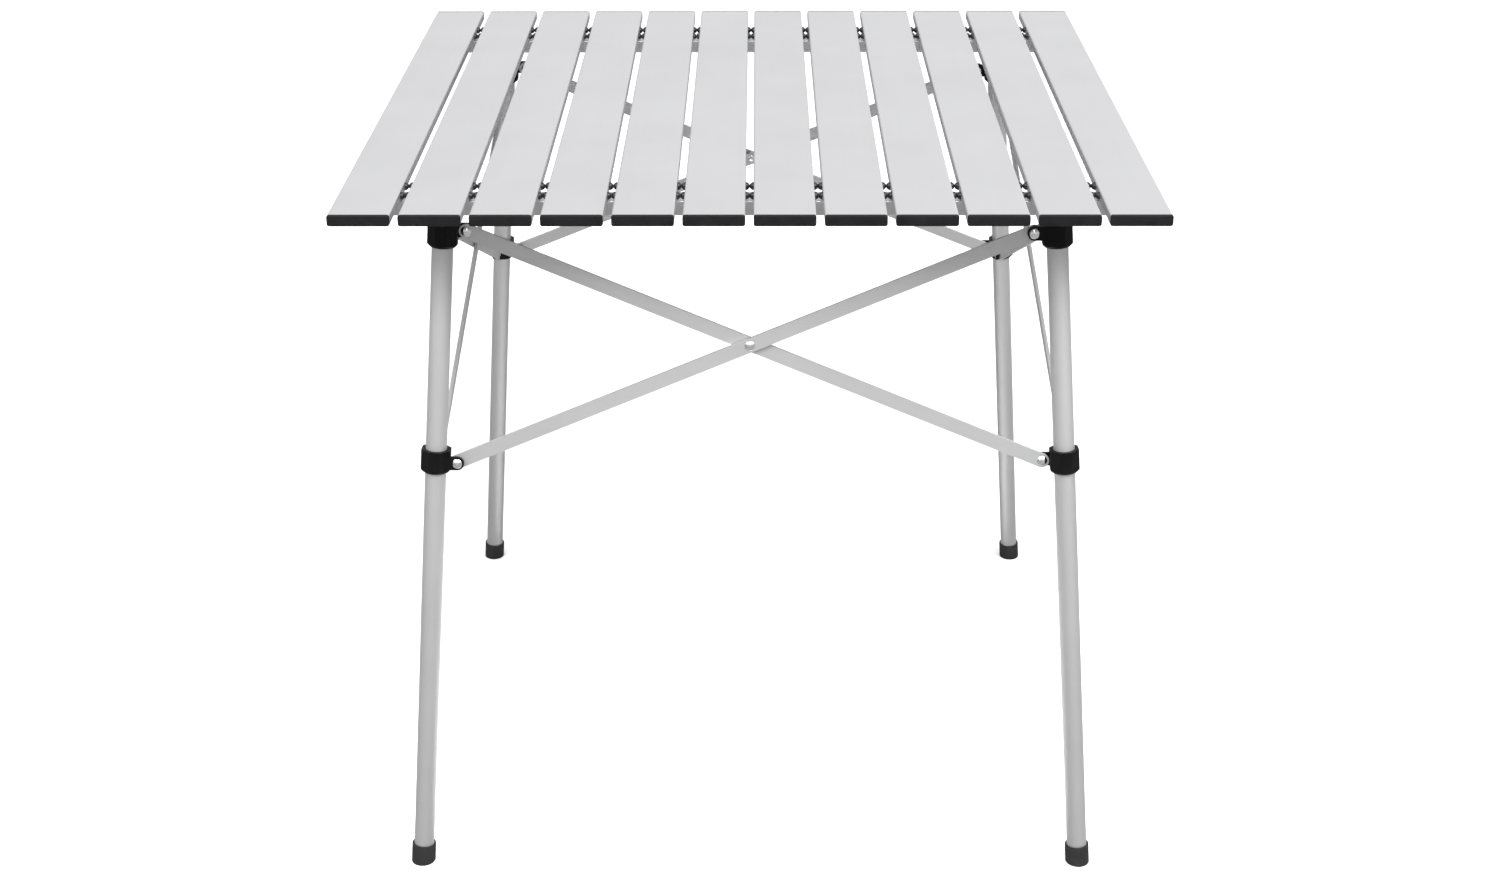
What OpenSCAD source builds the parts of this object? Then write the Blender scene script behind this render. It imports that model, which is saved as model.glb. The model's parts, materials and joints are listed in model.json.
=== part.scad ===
// Folding picnic table: a roll-up top of hollow aluminium slats, two support rails, and a frame of
// four splayed legs joined on every side by a crossed pair of flat braces.
// Millimetres, +Z up, +X to the right, +Y to the back. The origin is on the floor below the middle
// of the top, and the frame is drawn open, as it stands in use.

/* [Table top] */
// Width of the top, across the slats
top_w = 700; // [690:1:720]
// Depth of the top, along the slats, with their end caps
top_d = 700; // [680:5:740]
// Height of the top face above the floor
top_h = 668; // [664:0.5:680]
// Width of one slat
slat_w = 52; // [50:0.5:54]
// Thickness of a slat and of its end caps
slat_t = 9.5; // [9:0.1:10]
// Wall of a hollow slat
slat_wall = 1.2; // [1:0.1:1.4]
// Radius of the slats' long edges
slat_edge_r = 2; // [1.5:0.1:2.5]
// Length of an end cap that shows beyond its slat
cap_len = 3; // [2:0.5:5]

/* [Elastic cords] */
// Distance from the middle of the top to each pair of cords
cord_pair_y = 270.5; // [268:0.5:273]
// Distance between the two cords of a pair
cord_spacing = 26; // [24:1:30]
// Diameter of an elastic cord
cord_d = 2.6; // [2:0.1:3]
// Diameter of the domed head of a grommet
grommet_d = 7; // [6:0.1:7.2]
// How far a grommet stands out of a slat's side
grommet_out = 3.3; // [2.5:0.1:3.4]

/* [Support rails] */
// Length of a support rail
rail_len = 640; // [600:5:680]
// Depth of a rail's section, front to back
rail_d = 25; // [20:1:26]
// Height of a rail's section
rail_h = 13.3; // [12:0.1:13.4]
// Wall of a rail
rail_wall = 1.2; // [1:0.1:2]

/* [Legs] */
// Diameter of a leg tube
leg_d = 19; // [18:0.5:20]
// Wall of a leg tube
leg_wall = 1.2; // [1:0.1:2]
// Half the distance between two leg axes at the height of the upper pivots
leg_half_top = 266.5; // [260:0.5:268]
// Half the distance between two leg axes at the floor
leg_half_floor = 317.5; // [310:0.5:325]
// Diameter of a foot
foot_d = 22.8; // [22:0.2:26]
// Height of a foot
foot_h = 20; // [18:1:26]

/* [Hubs and collars] */
// Size of a hub and a collar across their flats
hub_w = 26; // [25:0.5:27]
// Height of an upper hub
hub_h = 32.5; // [28:0.5:34]
// Height of a sliding collar
collar_h = 21.5; // [18:0.5:26]
// Distance from a leg's axis to the pivots beside it
pivot_off = 20; // [19.5:0.5:22]
// Height of the upper pivots above the floor
pivot_top = 625; // [622:0.5:628]
// Height of the lower pivots above the floor
pivot_low = 413; // [400:0.5:430]
// Height of a collar's middle above its pivots
collar_rise = 1.5; // [0:0.5:3]
// Thickness of a lug on a hub or a collar
lug_t = 4; // [3:0.5:4.5]

/* [Braces and rivets] */
// Width of a flat brace
brace_w = 12.8; // [11:0.1:13]
// Thickness of a flat brace
brace_t = 3; // [2:0.1:3]
// Space between the two braces of a side where they cross
cross_gap = 1; // [0.8:0.1:1.2]
// Space between a brace and a hub's lug
lug_gap = 0.6; // [0.4:0.1:1]
// Space between a brace and a collar's lug, where the back braces twist a little as the frame folds
collar_lug_gap = 1.3; // [1.2:0.1:1.6]
// Diameter of a rivet's domed head
rivet_head_d = 9.6; // [8:0.1:10]
// Diameter of a rivet's shank
rivet_d = 5; // [4:0.5:5]

/* [Hidden] */
$fn = 48;
SLAT_COUNT = 12;
// Space between two solids that only seem to touch
eps = 0.02;
// How far a cutting shape runs past the solid that it cuts
over = 1;
// Play of a rivet in its hole, on each side, and under its head
running_fit = 0.05;
head_gap = 0.15;

SIDES = ["front", "right", "back", "left"];
LEGS = ["front_left", "front_right", "back_right", "back_left"];
function two_digits(n) = str(n < 10 ? "0" : "", n);
SLAT_NODES = [for (i = [1:SLAT_COUNT]) str("slat_", two_digits(i))];
FITTING_NODES = [for (i = [1:SLAT_COUNT]) str("slat_fittings_", two_digits(i))];
TUBE_NODES = [for (leg = LEGS) str("leg_tube_", leg)];
FOOT_NODES = [for (leg = LEGS) str("foot_", leg)];
HUB_NODES = [for (leg = LEGS) str("upper_hub_", leg)];
COLLAR_NODES = [for (leg = LEGS) str("slider_collar_", leg)];
OUTER_BRACE_NODES = [for (side = SIDES) str(side, "_outer_brace")];
INNER_BRACE_NODES = [for (side = SIDES) str(side, "_inner_brace")];
OUTER_RIVET_NODES = [for (side = SIDES) str(side, "_outer_rivets")];
INNER_RIVET_NODES = [for (side = SIDES) str(side, "_inner_rivets")];
RAIL_NODES = ["front_rail", "back_rail"];

// Slats: pitch, and the level of the middle of their thickness
slat_pitch = (top_w - slat_w) / (SLAT_COUNT - 1);
slat_mid_z = top_h - slat_t / 2;
slat_len = top_d - 2 * cap_len;
cap_plug_len = 16;
cap_plug_wall = 1.5;
cap_plug_r = 0.5;
cap_fit = 0.1;
CORD_YS = [for (end = [-1, 1], place = [-0.5, 0.5]) end * cord_pair_y + place * cord_spacing];
grommet_hole_d = 5;
grommet_bore_d = cord_d + 0.3;
grommet_barrel_d = grommet_hole_d - 0.1;
grommet_barrel_in = slat_wall + 0.8;
knot_d = 5;
knot_inset = 6;

// Rails, just under the slats
rail_gap = 0.2;
rail_top = top_h - slat_t - rail_gap;
rail_bottom = rail_top - rail_h;
plug_flange = 2;
plug_len = 14;

// Legs: every leg leans outwards by the same slope in X and in Y
splay = (leg_half_floor - leg_half_top) / pivot_top;
splay_angle = atan(splay);
leg_stretch = sqrt(1 + 2 * splay * splay);
function leg_half(z) = leg_half_top + (pivot_top - z) * splay;
tube_bottom_z = 4;
tube_top_z = 640;
hub_gap = 0.3;
hub_top_z = rail_bottom - hub_gap;
hub_bevel = 3;
hub_socket_z = tube_top_z + 0.2;
collar_bevel = 2.4;
collar_mid_z = pivot_low + collar_rise;
socket_fit = 0.05;
slide_fit = 0.1;
flat_to_corner = cos(180 / 8);

// Each side's mechanism lies in the plane of its two leg axes. Within the plane, x runs along the
// side as seen from outside, and z runs up from the point where the braces cross.
upper_x = leg_half(pivot_top) - pivot_off;
lower_x = leg_half(pivot_low) - pivot_off;
pivot_drop = (pivot_top - pivot_low) / cos(splay_angle);
cross_drop = pivot_drop * upper_x / (upper_x + lower_x);
cross_z = pivot_top - cross_drop * cos(splay_angle);
upper_z = cross_drop;
lower_z = cross_drop - pivot_drop;
brace_angle = atan(pivot_drop / (upper_x + lower_x));
upper_arm = norm([upper_x, upper_z]);
lower_arm = norm([lower_x, lower_z]);

// Levels across a side, counted outwards from the plane of its leg axes
brace_in = cross_gap / 2;
brace_out = brace_in + brace_t;
lug_in = brace_out + lug_gap;
lug_out = lug_in + lug_t;
lug_r = 6.2;
lug_root = 3.2;
lug_web = pivot_off - hub_w / 2 + lug_root;
collar_lug_in = brace_out + collar_lug_gap;
collar_lug_t = lug_out - collar_lug_in;
head_h = 2.2;
tail_h = 1.5;
tail_d = 7.6;

ALUMINIUM = "gainsboro";
STEEL = "silver";
BRACE_GREY = "darkgray";
BLACK = [0.13, 0.13, 0.14];
FOOT_GREY = [0.24, 0.24, 0.24];

// ---- Shapes that repeat ----

// A flat rectangle with round corners, centred
module round_rect(w, h, r) {
    square([w - 2 * r, h], center = true);
    square([w, h - 2 * r], center = true);
    for (x = [-1, 1], y = [-1, 1])
        translate([x * (w / 2 - r), y * (h / 2 - r)])
            circle(r);
}

// A bar of a slat's section that runs along Y from y = 0
module slat_bar(w, h, r, len)
    rotate([-90, 0, 0])
        linear_extrude(len)
            round_rect(w, h, r);

// A domed head that stands on z = 0
module dome(d, h) {
    ball_r = (d * d / 4 + h * h) / (2 * h);
    intersection() {
        translate([0, 0, h - ball_r])
            sphere(ball_r);
        cylinder(h = h, d = d + over);
    }
}

// Places its children at one leg, with z up the leg's axis and z = 0 at the height given
module at_leg(k, z = 0)
    rotate([0, 0, 90 * k])
        translate([-leg_half(z), -leg_half(z), z])
            rotate([-splay_angle, 0, 0])
                rotate([0, atan(splay * cos(splay_angle)), 0])
                    children();

// Places its children in one side's plane: x along the side, y inwards, z up the plane
module at_side(k)
    rotate([0, 0, 90 * k])
        translate([0, -leg_half(cross_z), cross_z])
            rotate([-splay_angle, 0, 0])
                children();

// Turns its children so that their z points outwards, and puts them at a point of the plane
module outwards(x, z, level)
    translate([x, -level, z])
        rotate([90, 0, 0])
            children();

// A lug beside a leg: toward is 1 where the pivot lies to the right of the leg
module lug(pivot, toward, level, thickness) {
    outwards(pivot[0], pivot[1], level)
        cylinder(h = thickness, r = lug_r);
    outwards(pivot[0] - (toward > 0 ? lug_web : 0), pivot[1] - lug_r, level)
        cube([lug_web, 2 * lug_r, thickness]);
}

// The hole through a lug
module lug_hole(pivot)
    outwards(pivot[0], pivot[1], -lug_out - over)
        cylinder(h = 2 * (lug_out + over), d = rivet_d + 2 * running_fit);

// An eight-sided sleeve around a leg, its lower rim bevelled. z runs up from its lower rim.
module sleeve(h, bevel) {
    corner_r = hub_w / 2 / flat_to_corner;
    intersection() {
        rotate([0, 0, 180 / 8])
            cylinder(h = h, r = corner_r, $fn = 8);
        rotate_extrude()
            polygon([[0, -over], [corner_r - bevel - over, -over], [corner_r + over, bevel + over],
                [corner_r + over, h + over], [0, h + over]]);
    }
}

// ---- Table top ----

function slat_x(i) = -top_w / 2 + slat_w / 2 + (i - 1) * slat_pitch;
// A slat's sides that face another slat: the first and the last slat have one each
function inner_sides(i) = [if (i > 1) -1, if (i < SLAT_COUNT) 1];

module slat(i)
    color(ALUMINIUM)
        translate([slat_x(i), 0, slat_mid_z])
            difference() {
                translate([0, -slat_len / 2, 0])
                    slat_bar(slat_w, slat_t, slat_edge_r, slat_len);
                translate([0, -slat_len / 2 - over, 0])
                    slat_bar(slat_w - 2 * slat_wall, slat_t - 2 * slat_wall,
                        slat_edge_r - slat_wall, slat_len + 2 * over);
                for (y = CORD_YS, side = inner_sides(i))
                    translate([side * (slat_w / 2 - 2 * slat_wall), y, 0])
                        rotate([0, side * 90, 0])
                            cylinder(h = 4 * slat_wall, d = grommet_hole_d);
            }

// A moulded end cap at the front end of a slat, with its plug inside the slat
module end_cap() {
    plug_w = slat_w - 2 * slat_wall - 2 * cap_fit;
    plug_t = slat_t - 2 * slat_wall - 2 * cap_fit;
    slat_bar(slat_w, slat_t, slat_edge_r, cap_len - eps);
    difference() {
        slat_bar(plug_w, plug_t, slat_edge_r - slat_wall, cap_len + cap_plug_len);
        translate([0, cap_len, 0])
            slat_bar(plug_w - 2 * cap_plug_wall, plug_t - 2 * cap_plug_wall, cap_plug_r,
                cap_plug_len + over);
    }
}

// A domed grommet in the side of a slat: z points out of the slat
module grommet()
    difference() {
        union() {
            translate([0, 0, eps])
                dome(grommet_d, grommet_out);
            translate([0, 0, -grommet_barrel_in])
                cylinder(h = grommet_barrel_in + grommet_out / 2, d = grommet_barrel_d);
        }
        translate([0, 0, -grommet_barrel_in - over])
            cylinder(h = grommet_barrel_in + grommet_out + 2 * over, d = grommet_bore_d);
    }

// The stretch of an elastic cord that lies in one slat. It ends in a knot in the outermost slats.
module cord_stretch(i) {
    reach = slat_w / 2 + grommet_out;
    left = i > 1 ? -reach : -slat_w / 2 + knot_inset;
    right = i < SLAT_COUNT ? reach : slat_w / 2 - knot_inset;
    translate([left, 0, 0])
        rotate([0, 90, 0])
            cylinder(h = right - left, d = cord_d);
    if (i == 1)
        translate([left, 0, 0])
            sphere(d = knot_d);
    if (i == SLAT_COUNT)
        translate([right, 0, 0])
            sphere(d = knot_d);
}

module slat_fittings(i)
    color(BLACK)
        translate([slat_x(i), 0, slat_mid_z]) {
            for (turn = [0, 180])
                rotate([0, 0, turn])
                    translate([0, -top_d / 2, 0])
                        end_cap();
            for (y = CORD_YS) {
                translate([0, y, 0])
                    cord_stretch(i);
                for (side = inner_sides(i))
                    translate([side * slat_w / 2, y, 0])
                        rotate([0, side * 90, 0])
                            grommet();
            }
        }

// A support rail along X: end is -1 for the front and 1 for the back
module rail(end)
    color(ALUMINIUM)
        translate([0, end * cord_pair_y, rail_bottom + rail_h / 2])
            difference() {
                cube([rail_len, rail_d, rail_h], center = true);
                cube([rail_len + 2 * over, rail_d - 2 * rail_wall, rail_h - 2 * rail_wall],
                    center = true);
            }

module rail_end_plugs()
    color(BLACK)
        for (end = [-1, 1], turn = [0, 180])
            translate([0, end * cord_pair_y, rail_bottom + rail_h / 2])
                rotate([0, 0, turn])
                    translate([rail_len / 2, 0, 0]) {
                        inner_d = rail_d - 2 * rail_wall - 2 * cap_fit;
                        inner_h = rail_h - 2 * rail_wall - 2 * cap_fit;
                        translate([eps, -rail_d / 2, -rail_h / 2])
                            cube([plug_flange, rail_d, rail_h]);
                        translate([-plug_len, -inner_d / 2, -inner_h / 2])
                            cube([plug_len + plug_flange / 2, inner_d, inner_h]);
                    }

// ---- Legs ----

module leg_tube(k)
    color(ALUMINIUM)
        at_leg(k, tube_bottom_z)
            difference() {
                cylinder(h = (tube_top_z - tube_bottom_z) * leg_stretch, d = leg_d);
                translate([0, 0, -over])
                    cylinder(h = top_h * leg_stretch, d = leg_d - 2 * leg_wall);
            }

// A foot is cut level, so that its whole sole rests on the floor
module foot(k)
    color(FOOT_GREY)
        difference() {
            at_leg(k, 0)
                translate([0, 0, -foot_d / 4])
                    cylinder(h = foot_h + foot_d / 4, d = foot_d);
            at_leg(k, tube_bottom_z)
                translate([0, 0, -eps])
                    cylinder(h = foot_h + over, r = leg_d / 2 + socket_fit);
            rotate([0, 0, 90 * k])
                translate([-leg_half_floor - foot_d, -leg_half_floor - foot_d, -2 * foot_d])
                    cube([2 * foot_d, 2 * foot_d, 2 * foot_d]);
        }

// A hub closes the top of its leg. It has a lug for the inner brace of the side on its left hand
// and a lug for the outer brace of the next side.
module upper_hub(k)
    color(BLACK)
        difference() {
            union() {
                intersection() {
                    at_leg(k, hub_top_z)
                        translate([0, 0, -hub_h * leg_stretch])
                            sleeve(hub_h * leg_stretch + hub_w / 4, hub_bevel);
                    translate([-top_w / 2, -top_d / 2, 0])
                        cube([top_w, top_d, hub_top_z]);
                }
                at_side(k)
                    lug([-upper_x, upper_z], 1, -lug_out, lug_t);
                at_side(k - 1)
                    lug([upper_x, upper_z], -1, lug_in, lug_t);
            }
            at_leg(k, 0)
                cylinder(h = hub_socket_z * leg_stretch, r = leg_d / 2 + socket_fit);
            at_side(k)
                lug_hole([-upper_x, upper_z]);
            at_side(k - 1)
                lug_hole([upper_x, upper_z]);
        }

// A collar slides on its leg. Its two rivet studs end inside the lugs, short of the braces.
module slider_collar(k) {
    color(BLACK)
        difference() {
            union() {
                at_leg(k, collar_mid_z)
                    translate([0, 0, -collar_h / 2])
                        sleeve(collar_h, collar_bevel);
                at_side(k)
                    lug([-lower_x, lower_z], 1, collar_lug_in, collar_lug_t);
                at_side(k - 1)
                    lug([lower_x, lower_z], -1, -lug_out, collar_lug_t);
            }
            at_leg(k, collar_mid_z)
                translate([0, 0, -2 * collar_h])
                    cylinder(h = 4 * collar_h, r = leg_d / 2 + slide_fit);
            at_side(k)
                lug_hole([-lower_x, lower_z]);
            at_side(k - 1)
                lug_hole([lower_x, lower_z]);
        }
    color(STEEL) {
        at_side(k)
            outwards(-lower_x, lower_z, lug_out + eps)
                stud(rivet_head_d, head_h, collar_lug_t);
        at_side(k - 1)
            outwards(lower_x, lower_z, -lug_out - eps)
                mirror([0, 0, 1])
                    stud(tail_d, tail_h, collar_lug_t);
    }
}

// ---- Braces and rivets ----

// A flat brace from a pivot on the upper left to one on the lower right, or the other way round
module brace(tilt, level)
    outwards(0, 0, level)
        rotate([0, 0, tilt])
            difference() {
                union() {
                    translate([-upper_arm, -brace_w / 2, 0])
                        cube([upper_arm + lower_arm, brace_w, brace_t]);
                    for (x = [-upper_arm, lower_arm])
                        translate([x, 0, 0])
                            cylinder(h = brace_t, d = brace_w);
                }
                for (x = [-upper_arm, 0, lower_arm])
                    translate([x, 0, -over])
                        cylinder(h = brace_t + 2 * over, d = rivet_d + 2 * running_fit);
            }

// The outer brace rises to the right, as seen from outside
module outer_brace(k)
    color(BRACE_GREY)
        at_side(k)
            brace(180 + brace_angle, brace_in);

// The inner brace falls to the right
module inner_brace(k)
    color(BRACE_GREY)
        at_side(k)
            brace(-brace_angle, -brace_out);

// A domed head on z = 0 with a shank below it
module stud(d, h, shank) {
    dome(d, h);
    translate([0, 0, -shank])
        cylinder(h = shank + h / 4, d = rivet_d);
}

// A whole rivet: a domed head on z = grip, a shank, and a domed tail below z = 0
module rivet(grip) {
    translate([0, 0, grip])
        stud(rivet_head_d, head_h, grip / 2);
    mirror([0, 0, 1])
        stud(tail_d, tail_h, grip / 2 + eps);
}

// Rivets that turn with the outer brace: its upper pivot, the crossing, and the free half of its
// lower pivot. On the back the crossing is in two halves, one on each brace.
module outer_rivets(k)
    color(STEEL)
        at_side(k) {
            outwards(upper_x, upper_z, brace_in - eps)
                rivet(lug_out + head_gap - brace_in);
            if (SIDES[k] == "back")
                outwards(0, 0, brace_out + eps)
                    stud(rivet_head_d, head_h, brace_t);
            else
                outwards(0, 0, -brace_out - head_gap)
                    rivet(2 * brace_out + head_gap + eps);
            outwards(-lower_x, lower_z, brace_in - eps)
                mirror([0, 0, 1])
                    stud(tail_d, tail_h, brace_t);
        }

// Rivets that turn with the inner brace: its upper pivot and the free half of its lower pivot
module inner_rivets(k)
    color(STEEL)
        at_side(k) {
            outwards(-upper_x, upper_z, -lug_out - head_gap)
                rivet(lug_out + head_gap - brace_in + eps);
            outwards(lower_x, lower_z, -brace_in + eps)
                stud(rivet_head_d, head_h, brace_t);
            if (SIDES[k] == "back")
                outwards(0, 0, -brace_out - eps)
                    mirror([0, 0, 1])
                        stud(tail_d, tail_h, brace_t);
        }

for (i = [1:SLAT_COUNT]) {
    slat(i);
    slat_fittings(i);
}
rail(-1);  // front_rail
rail(1);  // back_rail
rail_end_plugs();
for (k = [0:3]) {
    leg_tube(k);
    foot(k);
    upper_hub(k);
    slider_collar(k);
    outer_brace(k);
    inner_brace(k);
    outer_rivets(k);
    inner_rivets(k);
}
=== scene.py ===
"""Folding picnic table: the visual model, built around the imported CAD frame. Metres, Z up."""

import json
import math

import bmesh
import bpy
from mathutils import Matrix, Vector


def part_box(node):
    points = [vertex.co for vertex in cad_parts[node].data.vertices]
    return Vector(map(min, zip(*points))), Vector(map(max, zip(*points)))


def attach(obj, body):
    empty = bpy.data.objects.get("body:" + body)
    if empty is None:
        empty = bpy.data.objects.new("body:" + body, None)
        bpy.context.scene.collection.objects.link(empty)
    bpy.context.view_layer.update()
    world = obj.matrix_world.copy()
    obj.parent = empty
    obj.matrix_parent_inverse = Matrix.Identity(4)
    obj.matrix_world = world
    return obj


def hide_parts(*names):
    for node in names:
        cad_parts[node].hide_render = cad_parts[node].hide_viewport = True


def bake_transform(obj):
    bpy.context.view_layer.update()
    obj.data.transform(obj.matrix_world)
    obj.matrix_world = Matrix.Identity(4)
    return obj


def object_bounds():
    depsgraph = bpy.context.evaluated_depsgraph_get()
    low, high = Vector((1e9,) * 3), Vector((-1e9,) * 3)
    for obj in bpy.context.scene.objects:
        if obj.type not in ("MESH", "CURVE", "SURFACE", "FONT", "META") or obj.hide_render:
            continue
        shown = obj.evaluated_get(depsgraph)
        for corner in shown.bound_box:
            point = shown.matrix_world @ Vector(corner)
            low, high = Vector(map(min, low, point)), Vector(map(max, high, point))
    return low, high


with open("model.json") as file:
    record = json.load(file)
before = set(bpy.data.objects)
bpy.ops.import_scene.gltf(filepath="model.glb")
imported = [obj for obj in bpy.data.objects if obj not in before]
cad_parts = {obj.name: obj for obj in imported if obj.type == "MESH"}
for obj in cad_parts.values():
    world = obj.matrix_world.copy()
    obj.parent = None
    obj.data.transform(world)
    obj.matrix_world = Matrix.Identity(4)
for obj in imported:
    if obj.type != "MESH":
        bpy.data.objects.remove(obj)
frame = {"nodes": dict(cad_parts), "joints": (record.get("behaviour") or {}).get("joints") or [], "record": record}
CAD_BOX = [list(corner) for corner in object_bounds()]
scene = bpy.context.scene
MM = 0.001

SLAT_COUNT = 12
SIDES = ("front", "right", "back", "left")
LEGS = ("front_left", "front_right", "back_right", "back_left")
JOINTS = {joint["name"]: joint for joint in frame["joints"]}
NODE_BODY = {}
for body_name, members in frame["record"]["behaviour"]["bodies"].items():
    for member in members:
        NODE_BODY[member] = body_name

# Sizes that the CAD model's boxes don't give
SLAT_EDGE_R = 2.0 * MM
SLAT_WALL = 1.2 * MM
CAP_PLUG_LEN = 16 * MM
CORD_PAIR_Y = 270.5 * MM
CORD_SPACING = 26 * MM
CORD_R = 1.3 * MM
TUBE_R = 9.5 * MM
TUBE_WALL = 1.2 * MM
RAIL_WALL = 1.2 * MM


# ---- Camera ----

# The lens and sensor are in millimetres, the angles in degrees
LENS = 52.2108
SENSOR = 36
CAMERA_PLACE = (0.00564, -2.0606, 1.2526)
CAMERA_PITCH = 25.868
CAMERA_YAW = -0.415
CAMERA_ROLL = -0.154
CAMERA_SHIFT = (0.00537, 0.02854)


def add_camera():
    """The camera stands in front of the table, a little above it, and looks down at the top."""
    data = bpy.data.cameras.new("camera")
    data.sensor_width = SENSOR
    data.lens = LENS
    data.shift_x, data.shift_y = CAMERA_SHIFT
    camera = bpy.data.objects.new("camera", data)
    scene.collection.objects.link(camera)
    turn = Matrix.Rotation(math.radians(-CAMERA_YAW), 4, "Z")
    tilt = Matrix.Rotation(math.radians(90 - CAMERA_PITCH), 4, "X")
    roll = Matrix.Rotation(math.radians(CAMERA_ROLL), 4, "Z")
    camera.matrix_world = Matrix.Translation(CAMERA_PLACE) @ turn @ tilt @ roll
    scene.camera = camera


add_camera()


# ---- Materials ----

# Where nearly all of a noise's values lie
NOISE_LOW = 0.3
NOISE_HIGH = 0.7
NOISE_ROUGHNESS = 0.55


class Nodes:
    """A short way to build a node material around one Principled shader."""

    def __init__(self, name):
        self.material = bpy.data.materials.new(name)
        self.material.use_nodes = True
        self.tree = self.material.node_tree
        self.shader = self.tree.nodes["Principled BSDF"]
        coordinates = self.tree.nodes.new("ShaderNodeTexCoord")
        self.place = coordinates.outputs["Object"]

    def set(self, **values):
        for name, value in values.items():
            self.shader.inputs[name.replace("_", " ")].default_value = value

    def node(self, kind, **values):
        made = self.tree.nodes.new(kind)
        for name, value in values.items():
            setattr(made, name, value)
        return made

    def link(self, source, target):
        self.tree.links.new(source, target)

    def stretched(self, scale):
        """Object coordinates multiplied by a scale along each axis."""
        mapping = self.node("ShaderNodeMapping")
        mapping.inputs["Scale"].default_value = scale
        self.link(self.place, mapping.inputs["Vector"])
        return mapping.outputs["Vector"]

    def noise(self, scale, detail=4.0):
        """Noise from 0 to 1. Scale is the number of features in a metre, along each axis."""
        texture = self.node("ShaderNodeTexNoise")
        texture.inputs["Scale"].default_value = 1.0
        texture.inputs["Detail"].default_value = detail
        texture.inputs["Roughness"].default_value = NOISE_ROUGHNESS
        self.link(self.stretched(scale), texture.inputs["Vector"])
        return texture.outputs["Fac"]

    def ramp(self, value, low, high):
        """Maps the middle range of a texture to low..high."""
        fit = self.node("ShaderNodeMapRange")
        fit.inputs["From Min"].default_value = NOISE_LOW
        fit.inputs["From Max"].default_value = NOISE_HIGH
        fit.inputs["To Min"].default_value = low
        fit.inputs["To Max"].default_value = high
        self.link(value, fit.inputs["Value"])
        return fit.outputs["Result"]

    def blend(self, value, low_color, high_color):
        """A colour that goes from low_color to high_color with a texture's value."""
        mix = self.node("ShaderNodeMix", data_type="RGBA")
        colors = [socket for socket in mix.inputs if socket.type == "RGBA"]
        colors[0].default_value = (*low_color, 1.0)
        colors[1].default_value = (*high_color, 1.0)
        self.link(self.ramp(value, 0.0, 1.0), mix.inputs["Factor"])
        return [socket for socket in mix.outputs if socket.type == "RGBA"][0]

    def bump(self, value, distance, strength):
        relief = self.node("ShaderNodeBump")
        relief.inputs["Strength"].default_value = strength
        relief.inputs["Distance"].default_value = distance
        self.link(value, relief.inputs["Height"])
        self.link(relief.outputs["Normal"], self.shader.inputs["Normal"])

    def base(self, socket):
        self.link(socket, self.shader.inputs["Base Color"])

    def rough(self, socket):
        self.link(socket, self.shader.inputs["Roughness"])


# Features in a metre, across the drawing lines, along them, and in each of the other textures
DRAWN_LINES = 1100.0
DRAWN_LENGTH = 4.0
METAL_CLOUDS = 9.0
NYLON_GRAIN = 1800.0
NYLON_CLOUDS = 60.0
STEEL_SCUFFS = 700.0
PAPER_TOOTH = 300.0
BRAID_TWIST = 420.0


def even(features):
    """The same number of features along every axis."""
    return (features, features, features)


def shade(color, factor):
    """A colour made darker or lighter."""
    return tuple(channel * factor for channel in color)


def anodised(name, color, along, rough=(0.4, 0.47), relief=0.000006):
    """Satin anodised aluminium with fine drawing lines along one axis, 0 for X to 2 for Z."""
    material = Nodes(name)
    lines = list(even(DRAWN_LINES))
    lines[along] = DRAWN_LENGTH
    drawn = material.noise(lines, detail=3.0)
    cloud = material.noise(even(METAL_CLOUDS), detail=2.0)
    material.base(material.blend(cloud, shade(color, 0.975), shade(color, 1.02)))
    material.rough(material.ramp(drawn, *rough))
    material.bump(drawn, relief, 0.3)
    material.set(Metallic=1.0)
    return material.material


def moulded(name, color, rough=(0.45, 0.6), grain=0.00003, specular=0.25):
    """Moulded black nylon or rubber with a fine spark-eroded grain."""
    material = Nodes(name)
    fine = material.noise(even(NYLON_GRAIN), detail=2.0)
    cloud = material.noise(even(NYLON_CLOUDS), detail=3.0)
    material.base(material.blend(cloud, shade(color, 0.8), shade(color, 1.25)))
    material.rough(material.ramp(cloud, *rough))
    material.bump(fine, grain, 0.4)
    material.set(Specular_IOR_Level=specular)
    return material.material


def polished(name, color):
    """Polished steel with faint scuffs."""
    material = Nodes(name)
    scuff = material.noise(even(STEEL_SCUFFS), detail=5.0)
    material.base(material.blend(scuff, shade(color, 0.94), color))
    material.rough(material.ramp(scuff, 0.10, 0.2))
    material.bump(scuff, 0.00001, 0.2)
    material.set(Metallic=1.0)
    return material.material


def braided(name, color):
    """A black braided elastic cord."""
    material = Nodes(name)
    twist = material.node("ShaderNodeTexWave", wave_type="BANDS", bands_direction="DIAGONAL")
    twist.inputs["Scale"].default_value = BRAID_TWIST
    twist.inputs["Distortion"].default_value = 0.6
    material.link(material.place, twist.inputs["Vector"])
    material.base(material.blend(twist.outputs["Fac"], shade(color, 0.6), shade(color, 1.6)))
    material.bump(twist.outputs["Fac"], 0.0002, 0.7)
    material.set(Roughness=0.8, Specular_IOR_Level=0.2)
    return material.material


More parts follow.
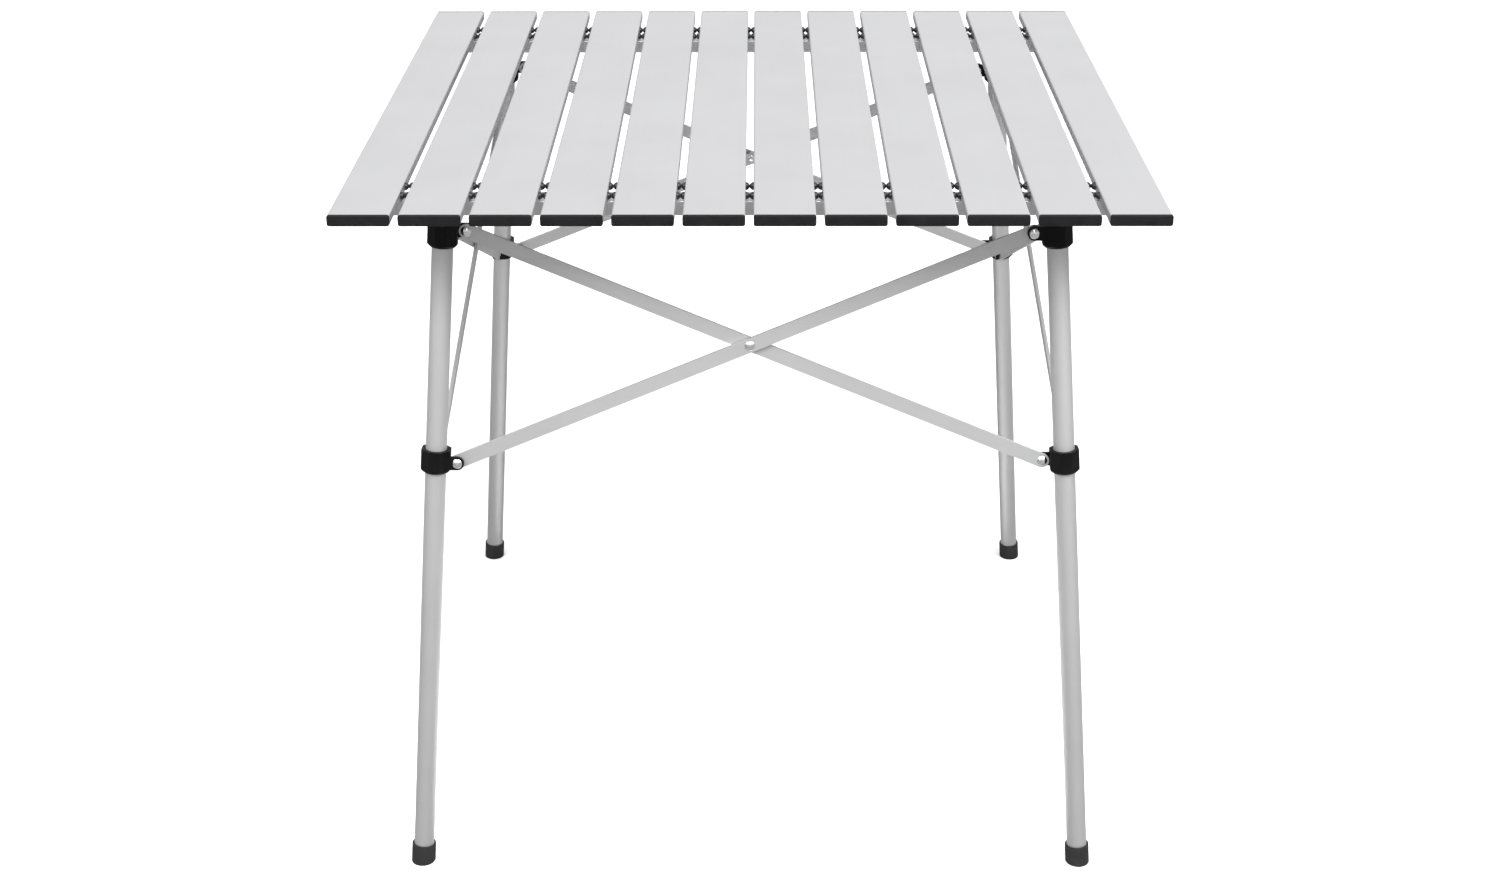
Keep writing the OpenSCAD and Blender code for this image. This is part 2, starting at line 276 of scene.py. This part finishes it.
SLAT_METAL = anodised("slat_anodised", (0.57, 0.57, 0.58), along=1, relief=0.000004)
RAIL_METAL = anodised("rail_anodised", (0.5, 0.5, 0.505), along=0)
TUBE_METAL = anodised("tube_anodised", (0.565, 0.562, 0.563), along=2, rough=(0.62, 0.68))
BRACE_METAL = anodised("brace_anodised", (0.55, 0.55, 0.555), along=0, rough=(0.62, 0.68))
RIVET_METAL = polished("rivet_polished", (0.78, 0.78, 0.79))
CAP_PLASTIC = moulded("cap_nylon", (0.0055, 0.0055, 0.006), specular=0.14)
GROMMET_PLASTIC = moulded("grommet_nylon", (0.008, 0.008, 0.009), rough=(0.3, 0.42), specular=0.4)
HUB_PLASTIC = moulded("hub_nylon", (0.002, 0.002, 0.0022), rough=(0.38, 0.5), specular=0.09)
COLLAR_PLASTIC = moulded("collar_nylon", (0.003, 0.003, 0.0033), rough=(0.38, 0.5), specular=0.1)
FOOT_RUBBER = moulded("foot_rubber", (0.013, 0.013, 0.013), rough=(0.6, 0.75), grain=0.00005)
CORD_ELASTIC = braided("cord_elastic", (0.02, 0.02, 0.021))


# ---- Mesh tools ----

# Edges sharper than this stay sharp
SHARP_ANGLE = math.radians(38)
# Edges of a CAD node that are sharper than this are rounded
CORNER_ANGLE = math.radians(30)
# Neighbouring faces of a CAD node flatter than this are one face
FLAT_ANGLE = math.radians(0.3)
# Points of a CAD node nearer than this are one point
WELD = 0.002 * MM
BEVEL_STEPS = 3
# The bevels of finished CAD nodes
MOULDED_EDGE = 0.5 * MM
RUBBER_EDGE = 0.8 * MM
BRACE_EDGE = 0.4 * MM
RIVET_EDGE = 0.2 * MM
CORD_SEGMENTS = 16
TUBE_SEGMENTS = 64


def object_of(name, bm, material):
    """Puts a bmesh into the scene as an object of one material."""
    mesh = bpy.data.meshes.new(name)
    bm.to_mesh(mesh)
    bm.free()
    mesh.materials.append(material)
    piece = bpy.data.objects.new(name, mesh)
    scene.collection.objects.link(piece)
    return piece


def smooth_piece(name, bm, material):
    """A smooth-shaded piece that rides on nothing yet."""
    bmesh.ops.recalc_face_normals(bm, faces=bm.faces)
    piece = object_of(name, bm, material)
    piece.data.shade_smooth()
    piece.data.set_sharp_from_angle(angle=SHARP_ANGLE)
    return piece


def finish_piece(name, bm, body, material):
    """A smooth-shaded piece that rides on a body."""
    piece = smooth_piece(name, bm, material)
    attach(piece, body)
    return piece


def ring_of(bm, points):
    return [bm.verts.new(point) for point in points]


def bridge(bm, first, second):
    """Joins two rings of points with quads."""
    count = len(first)
    for index in range(count):
        after = (index + 1) % count
        bm.faces.new((first[index], first[after], second[after], second[index]))


def loft(bm, rings, closed=False):
    """Joins rings of points with quads. An open loft gets a flat face at each end."""
    made = [ring_of(bm, ring) for ring in rings]
    for first, second in zip(made, made[1:]):
        bridge(bm, first, second)
    if closed:
        bridge(bm, made[-1], made[0])
    else:
        bm.faces.new(made[0])
        bm.faces.new(made[-1])


def round_rect(width, height, radius, steps=6):
    """Points of a flat rectangle with round corners, centred, as (across, up)."""
    points = []
    for corner, (sx, sy) in enumerate(((1, 1), (-1, 1), (-1, -1), (1, -1))):
        for step in range(steps + 1):
            angle = math.pi / 2 * (corner + step / steps)
            across = sx * (width / 2 - radius) + radius * math.cos(angle)
            up = sy * (height / 2 - radius) + radius * math.sin(angle)
            points.append((across, up))
    return points


def basis(direction):
    """Two directions square to one another and to the one given."""
    forward = Vector(direction).normalized()
    helper = Vector((0, 0, 1)) if abs(forward.z) < 0.9 else Vector((1, 0, 0))
    right = helper.cross(forward).normalized()
    return right, forward.cross(right), forward


def turned(bm, place, direction, profile, segments=40, closed=False):
    """A turned shape: profile holds (radius, distance along the direction)."""
    right, up, forward = basis(direction)
    rings = []
    for radius, along in profile:
        ring = []
        for step in range(segments):
            angle = 2 * math.pi * step / segments
            spoke = right * math.cos(angle) + up * math.sin(angle)
            ring.append(Vector(place) + forward * along + spoke * radius)
        rings.append(ring)
    loft(bm, rings, closed)


def loose_parts(bm):
    """The separate closed bodies of a mesh, as lists of their points, largest first."""
    left = set(bm.verts)
    parts = []
    while left:
        reached = [left.pop()]
        for point in reached:
            for edge in point.link_edges:
                other = edge.other_vert(point)
                if other in left:
                    left.remove(other)
                    reached.append(other)
        parts.append(reached)
    return sorted(parts, key=extent, reverse=True)


def extent(points):
    """The diagonal of the box round some points."""
    low = Vector([min(point.co[axis] for point in points) for axis in range(3)])
    high = Vector([max(point.co[axis] for point in points) for axis in range(3)])
    return (high - low).length


def refined(node, bevel, material, keep=None, name=None):
    """A finished copy of a CAD node: its flat faces whole again, and its edges rounded.

    A node of several bodies can be finished in two pieces: keep is "largest" for its largest body,
    or "others" for the rest.
    """
    bm = bmesh.new()
    bm.from_mesh(frame["nodes"][node].data)
    bmesh.ops.remove_doubles(bm, verts=bm.verts, dist=WELD)
    if keep:
        parts = loose_parts(bm)
        unwanted = parts[1:] if keep == "largest" else parts[:1]
        bmesh.ops.delete(bm, geom=[point for part in unwanted for point in part], context="VERTS")
    bmesh.ops.dissolve_limit(bm, angle_limit=FLAT_ANGLE, verts=bm.verts, edges=bm.edges)
    corners = [edge for edge in bm.edges if edge.is_manifold]
    corners = [edge for edge in corners if edge.calc_face_angle() > CORNER_ANGLE]
    shape = dict(offset=bevel, segments=BEVEL_STEPS, profile=0.5, clamp_overlap=True)
    bmesh.ops.bevel(bm, geom=corners, affect="EDGES", **shape)
    piece = finish_piece(name or node + "_finished", bm, NODE_BODY[node], material)
    piece.modifiers.new("flat_faces", "WEIGHTED_NORMAL")
    if keep != "others":
        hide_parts(node)


# ---- Table top ----

CORD_YS = [end * CORD_PAIR_Y + place * CORD_SPACING for end in (-1, 1) for place in (-0.5, 0.5)]
CAP_BEVEL = 0.9 * MM
CAP_BEVEL_STEPS = 4
CAP_PLUG_R = 0.7 * MM
CAP_PLUG_PLAY = 0.2 * MM
# The cap's head narrows by this much, over this depth, where it meets the slat
CAP_STEP = 0.3 * MM
CAP_STEP_DEPTH = 0.15 * MM
CAP_SHOULDER = 0.01 * MM


def slat_name(index):
    return f"slat_{index:02d}"


def section_at(middle, y, width, height, radius):
    """The outline of a slat's cross-section at a place along it."""
    return [(middle.x + across, y, middle.z + up) for across, up in round_rect(width, height, radius)]


def make_slat(index):
    """A hollow extrusion with round edges. Its ends are open, and the caps close them."""
    name = slat_name(index)
    low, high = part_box(name)
    middle = (low + high) / 2
    size = high - low
    inner = (size.x - 2 * SLAT_WALL, size.z - 2 * SLAT_WALL, SLAT_EDGE_R - SLAT_WALL)
    bm = bmesh.new()
    rings = []
    for y in (low.y, high.y):
        rings.append(section_at(middle, y, size.x, size.z, SLAT_EDGE_R))
    for y in (high.y, low.y):
        rings.append(section_at(middle, y, *inner))
    loft(bm, rings, closed=True)
    piece = finish_piece(name + "_extrusion", bm, NODE_BODY[name], SLAT_METAL)
    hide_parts(name)


def make_caps(index):
    """Both moulded end caps of a slat: a head with a rounded rim, and a plug inside the slat."""
    name = f"slat_fittings_{index:02d}"
    low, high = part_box(slat_name(index))
    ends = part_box(name)
    middle = (low + high) / 2
    width = high.x - low.x
    height = high.z - low.z
    less = 2 * SLAT_WALL + CAP_PLUG_PLAY
    plug = (width - less, height - less, CAP_PLUG_R)
    bm = bmesh.new()
    for tip, joint in ((ends[0].y, low.y), (ends[1].y, high.y)):
        inward = 1 if joint > tip else -1
        rings = []
        for step in range(CAP_BEVEL_STEPS + 1):
            angle = math.pi / 2 * step / CAP_BEVEL_STEPS
            inset = CAP_BEVEL * (1 - math.sin(angle))
            y = tip + inward * CAP_BEVEL * (1 - math.cos(angle))
            rings.append(
                section_at(middle, y, width - 2 * inset, height - 2 * inset, SLAT_EDGE_R - inset / 2)
            )
        step_y = joint - inward * CAP_STEP_DEPTH
        rings.append(section_at(middle, step_y, width, height, SLAT_EDGE_R))
        rings.append(section_at(middle, joint, width - CAP_STEP, height - CAP_STEP, SLAT_EDGE_R))
        rings.append(section_at(middle, joint + inward * CAP_SHOULDER, *plug))
        rings.append(section_at(middle, joint + inward * CAP_PLUG_LEN, *plug))
        loft(bm, rings)
    piece = finish_piece(
        f"slat_caps_{index:02d}", bm, NODE_BODY[name], CAP_PLASTIC
    )
    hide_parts(name)


# A grommet's section in millimetres, as radius and distance out of the slat's side
GROMMET_PROFILE = (
    (1.45, -3.0), (2.45, -3.0), (2.45, 0.0), (3.3, 0.0), (3.5, 0.15), (3.48, 0.6), (3.32, 1.2),
    (3.02, 1.8), (2.6, 2.35), (2.15, 2.8), (1.8, 3.1), (1.6, 3.2), (1.45, 3.1), (1.45, 2.6),
)


def make_grommets(index):
    """The domed grommets in the sides that face another slat."""
    low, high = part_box(slat_name(index))
    middle = (low + high) / 2
    profile = [(radius * MM, along * MM) for radius, along in GROMMET_PROFILE]
    bm = bmesh.new()
    for y in CORD_YS:
        if index > 1:
            turned(bm, (low.x, y, middle.z), (-1, 0, 0), profile, closed=True)
        if index < SLAT_COUNT:
            turned(bm, (high.x, y, middle.z), (1, 0, 0), profile, closed=True)
    body = NODE_BODY[slat_name(index)]
    finish_piece(f"grommets_{index:02d}", bm, body, GROMMET_PLASTIC)


# How far a link across a gap reaches into the slats on both sides
CORD_REACH = 9 * MM
CORD_RINGS = 24
RUN_RINGS = 6
KNOT_INSET = 6 * MM
KNOT_R = 2.4 * MM
KNOT_SHAPE = (1.15, 0.9, 0.9, 1)


def cord_tube(bm, start_x, end_x, y, z, rings):
    """A straight stretch of cord along X."""
    profile = []
    for step in range(rings + 1):
        profile.append((CORD_R, (end_x - start_x) * step / rings))
    turned(bm, (start_x, y, z), (1, 0, 0), profile, segments=CORD_SEGMENTS)


def make_cord_runs(index):
    """The stretch of the four elastic cords inside one slat, knotted in the outermost slats."""
    low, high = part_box(slat_name(index))
    z = (low.z + high.z) / 2
    left = low.x + (KNOT_INSET if index == 1 else CORD_REACH)
    right = high.x - (KNOT_INSET if index == SLAT_COUNT else CORD_REACH)
    bm = bmesh.new()
    for y in CORD_YS:
        cord_tube(bm, left, right, y, z, RUN_RINGS)
        if index in (1, SLAT_COUNT):
            knot = left if index == 1 else right
            ball = Matrix.Translation((knot, y, z)) @ Matrix.Diagonal(KNOT_SHAPE)
            bmesh.ops.create_icosphere(bm, subdivisions=3, radius=KNOT_R, matrix=ball)
    body = NODE_BODY[slat_name(index)]
    finish_piece(f"cord_runs_{index:02d}", bm, body, CORD_ELASTIC)


def make_cord_links(index):
    """The four cords across the gap after a slat, as straight tubes from one slat into the next."""
    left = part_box(slat_name(index))[1]
    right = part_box(slat_name(index + 1))[0]
    low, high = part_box(slat_name(index))
    z = (low.z + high.z) / 2
    bm = bmesh.new()
    for y in CORD_YS:
        cord_tube(bm, left.x - CORD_REACH, right.x + CORD_REACH, y, z, CORD_RINGS)
    piece = smooth_piece(f"cord_links_{index:02d}", bm, CORD_ELASTIC)
    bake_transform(piece)


RAIL_EDGE_R = 1.2 * MM
RAIL_INNER_R = 0.4 * MM


def make_rail(name):
    """A rectangular tube with slightly round corners."""
    low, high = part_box(name)
    middle = (low + high) / 2
    size = high - low
    bm = bmesh.new()
    rings = []
    outer = round_rect(size.y, size.z, RAIL_EDGE_R, steps=4)
    inner = round_rect(size.y - 2 * RAIL_WALL, size.z - 2 * RAIL_WALL, RAIL_INNER_R, steps=4)
    for x, section in ((low.x, outer), (high.x, outer), (high.x, inner), (low.x, inner)):
        rings.append([(x, middle.y + across, middle.z + up) for across, up in section])
    loft(bm, rings, closed=True)
    piece = finish_piece(name + "_tube", bm, NODE_BODY[name], RAIL_METAL)
    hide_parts(name)


for number in range(1, SLAT_COUNT + 1):
    make_slat(number)
    make_caps(number)
    make_grommets(number)
    make_cord_runs(number)
    if number < SLAT_COUNT:
        make_cord_links(number)
make_rail("front_rail")
make_rail("back_rail")
refined("rail_end_plugs", MOULDED_EDGE, CAP_PLASTIC)


# ---- Frame ----

def leg_axis(leg):
    """The ends of a leg tube's centre line, lower end first."""
    upwards = -Vector(JOINTS[leg + "_collar_slide"]["axis"]).normalized()
    low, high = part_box("leg_tube_" + leg)
    rise = TUBE_R * math.sqrt(1 - upwards.z ** 2)
    bottom_z = low.z + rise
    top_z = high.z - rise
    out_x = TUBE_R * math.sqrt(1 - upwards.x ** 2)
    out_y = TUBE_R * math.sqrt(1 - upwards.y ** 2)
    x = low.x + out_x if upwards.x > 0 else high.x - out_x
    y = low.y + out_y if upwards.y > 0 else high.y - out_y
    bottom = Vector((x, y, bottom_z))
    return bottom, bottom + upwards * ((top_z - bottom_z) / upwards.z)


TUBE_RINGS = 12


def make_leg_tube(leg):
    """A straight tube, open at both ends."""
    bottom, top = leg_axis(leg)
    length = (top - bottom).length
    bm = bmesh.new()
    bore = TUBE_R - TUBE_WALL
    profile = [(TUBE_R, length * step / TUBE_RINGS) for step in range(TUBE_RINGS + 1)]
    profile += [(bore, length), (bore, 0.0)]
    turned(bm, bottom, top - bottom, profile, segments=TUBE_SEGMENTS, closed=True)
    name = "leg_tube_" + leg
    piece = finish_piece(name + "_drawn", bm, NODE_BODY[name], TUBE_METAL)
    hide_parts(name)


for leg_name in LEGS:
    make_leg_tube(leg_name)
    refined("foot_" + leg_name, RUBBER_EDGE, FOOT_RUBBER)
    refined("upper_hub_" + leg_name, MOULDED_EDGE, HUB_PLASTIC)
    collar = "slider_collar_" + leg_name
    refined(collar, MOULDED_EDGE, COLLAR_PLASTIC, keep="largest")
    rivets = "collar_rivets_" + leg_name
    refined(collar, RIVET_EDGE, RIVET_METAL, keep="others", name=rivets)
for side_name in SIDES:
    for layer in ("outer", "inner"):
        refined(f"{side_name}_{layer}_brace", BRACE_EDGE, BRACE_METAL)
        refined(f"{side_name}_{layer}_rivets", RIVET_EDGE, RIVET_METAL)


# ---- Floor and light ----

FLOOR_WHITE = (0.93, 0.93, 0.93)
CARD_GREY = (0.2, 0.2, 0.2)


def stage_piece(name, bm, color):
    """A sheet of the studio, of matt paper."""
    material = Nodes(name + "_paper")
    tooth = material.noise(even(PAPER_TOOTH))
    material.rough(material.ramp(tooth, 0.85, 0.95))
    material.set(Base_Color=(*color, 1.0), Specular_IOR_Level=0.1)
    piece = object_of(name, bm, material.material)
    return piece


def sheet(half, height):
    """A square sheet."""
    bm = bmesh.new()
    lift = Matrix.Translation((0, 0, height))
    bmesh.ops.create_grid(bm, x_segments=8, y_segments=8, size=half, matrix=lift)
    return bm


def framed_sheet(half, hole, height):
    """A square sheet with a square hole in its middle."""
    bm = bmesh.new()
    corners = ((-1, -1), (1, -1), (1, 1), (-1, 1))
    outer = ring_of(bm, [(x * half, y * half, height) for x, y in corners])
    inner = ring_of(bm, [(x * hole, y * hole, height) for x, y in corners])
    bridge(bm, outer, inner)
    return bm


FLOOR_HALF = 40.0
CARD_HALF = 8.0
CARD_LIFT = 0.002
# The card is open under the table, to just inside the feet
CARD_HOLE = 0.82 * CAD_BOX[1][0]


def make_floor():
    """White paper to stand on, and a grey card over it that only reflections see.

    The card gives the tubes and braces something darker than the paper to mirror, as a
    photographer's card does.
    """
    stage_piece("floor", sheet(FLOOR_HALF, 0.0), FLOOR_WHITE)
    card = stage_piece("reflection_card", framed_sheet(CARD_HALF, CARD_HOLE, CARD_LIFT), CARD_GREY)
    card.visible_camera = False
    card.visible_diffuse = False
    card.visible_shadow = False


def add_light(name, place, target, size, power):
    """A soft box of a size in metres and a power in watts, turned to a target."""
    data = bpy.data.lights.new(name, "AREA")
    data.shape = "RECTANGLE"
    data.size, data.size_y = size
    data.energy = power
    light = bpy.data.objects.new(name, data)
    scene.collection.objects.link(light)
    light.location = place
    light.rotation_euler = (Vector(target) - Vector(place)).to_track_quat("-Z", "Y").to_euler()


# The dome's strength at heights above the horizon from 0 to 1
DOME = ((0.0, 0.36), (0.12, 0.66), (0.3, 1.15), (0.6, 1.3), (1.0, 1.0))
DOME_PEAK = 1.3


def light_studio():
    """A dome that is bright above and dim at the horizon, three soft boxes in front and one behind."""
    world = bpy.data.worlds.new("studio")
    world.use_nodes = True
    scene.world = world
    tree = world.node_tree
    sky = tree.nodes["Background"]
    direction = tree.nodes.new("ShaderNodeTexCoord")
    parts = tree.nodes.new("ShaderNodeSeparateXYZ")
    height = tree.nodes.new("ShaderNodeValToRGB")
    stops = height.color_ramp.elements
    while len(stops) < len(DOME):
        stops.new(1.0)
    for stop, (place, light) in zip(stops, DOME):
        stop.position = place
        stop.color = (*(light / DOME_PEAK,) * 3, 1.0)
    sky.inputs["Strength"].default_value = DOME_PEAK
    tree.links.new(direction.outputs["Generated"], parts.inputs["Vector"])
    tree.links.new(parts.outputs["Z"], height.inputs["Fac"])
    tree.links.new(height.outputs["Color"], sky.inputs["Color"])
    add_light("key", (1.9, -1.7, 2.9), (0, 0, 0.45), (1.6, 1.6), 110)
    add_light("fill", (-2.0, -1.8, 2.8), (0, 0, 0.4), (1.6, 1.6), 58)
    add_light("front", (0.2, -2.4, 3.0), (0, 0, 0.4), (2.6, 1.2), 72)
    add_light("rim", (2.6, 2.6, 2.0), (0.3, 0, 0.6), (1.2, 1.2), 14)
    scene.view_settings.view_transform = "Standard"


make_floor()
light_studio()
